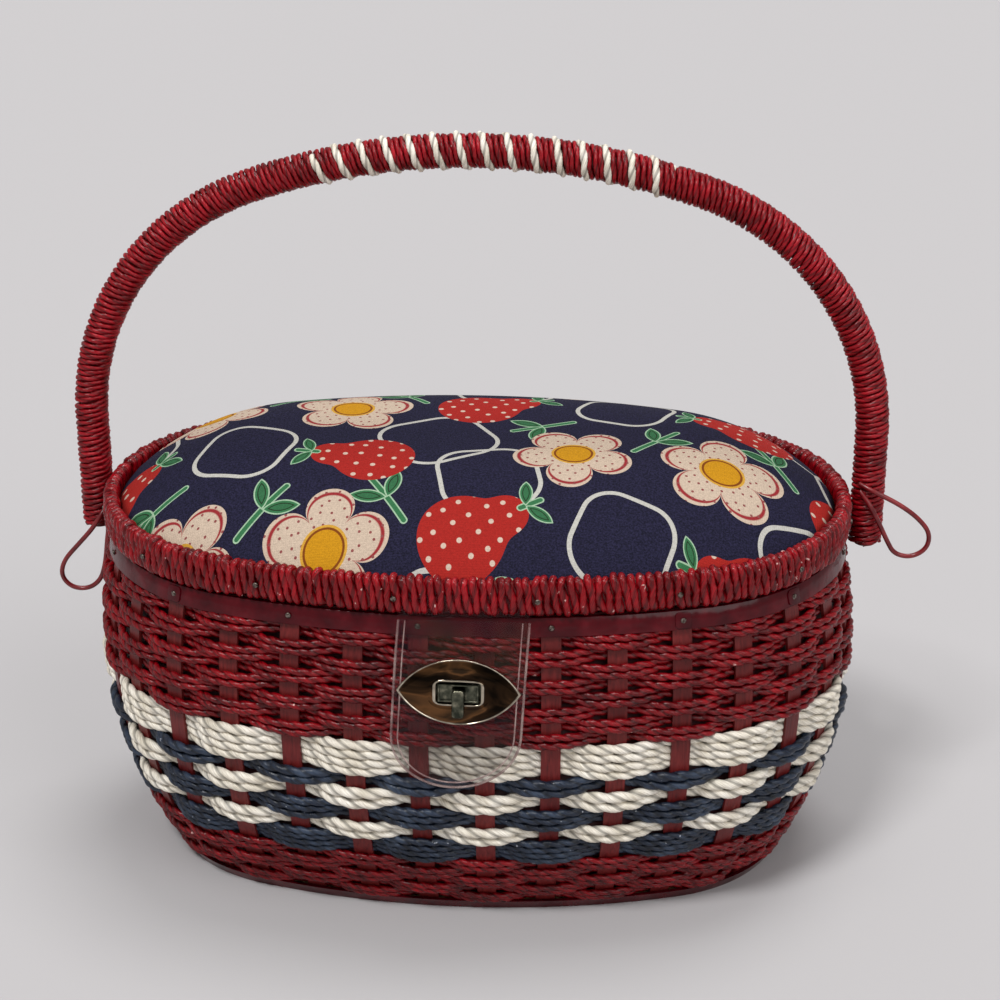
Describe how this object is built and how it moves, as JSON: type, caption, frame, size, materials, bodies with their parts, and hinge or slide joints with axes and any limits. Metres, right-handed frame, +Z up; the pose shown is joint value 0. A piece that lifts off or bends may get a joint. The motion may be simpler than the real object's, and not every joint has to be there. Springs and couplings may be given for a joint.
{
  "type": "wicker sewing basket",
  "caption": "Oval woven cord basket with a padded, hinged fabric lid, a wound bail handle that folds, and a clear latch flap held by a turn button.",
  "frame": {"origin": "on the floor, under the middle of the basket's oval", "axes": "+Z up, X along the basket's length with +X at the viewer's right, the latch faces -Y"},
  "size_m": [0.3617, 0.2059, 0.2979],
  "materials": {
    "stained_wood": "satin, stained dark red",
    "board": "matt",
    "rim_strip": "glossy",
    "red_cord": "twisted paper cord, glossy lacquer",
    "white_cord": "twisted paper cord, matt",
    "blue_cord": "twisted paper cord, matt",
    "cover_fabric": "printed cotton",
    "lining_fabric": "satin cloth",
    "padding": "soft foam",
    "clear_vinyl": "clear, glossy",
    "red_vinyl": "glossy",
    "polished_metal": "polished",
    "hinge_metal": "brushed",
    "nail_metal": "satin"
  },
  "bodies": {
    "basket": {"base_board": "board", "base_hoop": "rim_strip", "floor_lining": "lining_fabric", "wall_lining": "lining_fabric", "stakes": "stained_wood", "outer_rim_band": "rim_strip", "inner_rim_hoop": "stained_wood", "rim_nails": "nail_metal", "hinge_lower_leaves": "hinge_metal", "hinge_pins": "hinge_metal", "hinge_nails_lower": "nail_metal", "lock_base_plate": "polished_metal", "lock_backing_plate": "polished_metal", "lock_rivets": "polished_metal", "red_row_1": "red_cord", "red_row_2": "red_cord", "red_row_3": "red_cord", "red_row_4": "red_cord", "red_row_5": "red_cord", "red_row_6": "red_cord", "red_row_7": "red_cord", "red_row_8": "red_cord", "red_row_9": "red_cord", "red_row_10": "red_cord", "red_row_11": "red_cord", "red_row_12": "red_cord", "red_row_13": "red_cord", "white_row_broad": "white_cord", "white_row_middle": "white_cord", "white_row_lower": "white_cord", "blue_row_upper": "blue_cord", "blue_row_middle": "blue_cord", "blue_row_broad": "blue_cord"},
    "lid": {"hinge_upper_leaves": "hinge_metal", "hinge_nails_upper": "nail_metal", "lid_hoop": "stained_wood", "lid_rim_wrap": "red_cord", "lid_board": "board", "lid_padding": "padding", "lid_cover": "cover_fabric", "lid_lining": "lining_fabric", "lid_nails": "nail_metal", "flap_tab": "clear_vinyl"},
    "flap": {"latch_flap": "clear_vinyl", "eye_plate": "polished_metal", "eye_back_plate": "polished_metal", "eye_rivets": "polished_metal"},
    "button": {"turn_button": "polished_metal", "button_washer": "polished_metal"},
    "pivots": {"pivot_pins": "nail_metal", "pivot_washers": "nail_metal"},
    "handle": {"handle_core": "stained_wood", "handle_winding": "red_cord", "handle_white_winding": "white_cord", "handle_loop_left": "red_vinyl", "handle_loop_right": "red_vinyl"}
  },
  "joints": [
    {"name": "lid_open", "type": "hinge", "parent": "basket", "child": "lid", "pos_m": [0, 0.09712, 0.139], "axis": [-1, 0, 0], "range_deg": [0, 100]},
    {"name": "flap_lift", "type": "hinge", "parent": "lid", "child": "flap", "pos_m": [0.0006, -0.0939, 0.1382], "axis": [-1, 0, 0], "range_deg": [0, 80]},
    {"name": "button_turn", "type": "hinge", "parent": "basket", "child": "button", "pos_m": [0.00057, -0.09892, 0.10991], "axis": [0, -0.9945, 0.1044], "range_deg": [0, 90]},
    {"name": "handle_clearing", "type": "hinge", "parent": "basket", "child": "pivots", "pos_m": [0, 0.013, 0.1355], "axis": [1, 0, 0], "range_deg": [0, 90]},
    {"name": "handle_fold", "type": "hinge", "parent": "pivots", "child": "handle", "pos_m": [0, 0.013, 0.1355], "axis": [-1, 0, 0], "range_deg": [0, 90]}
  ],
  "couplings": [
    {"joint": "handle_clearing", "follows": "lid_open", "ratio": 0.9}
  ]
}
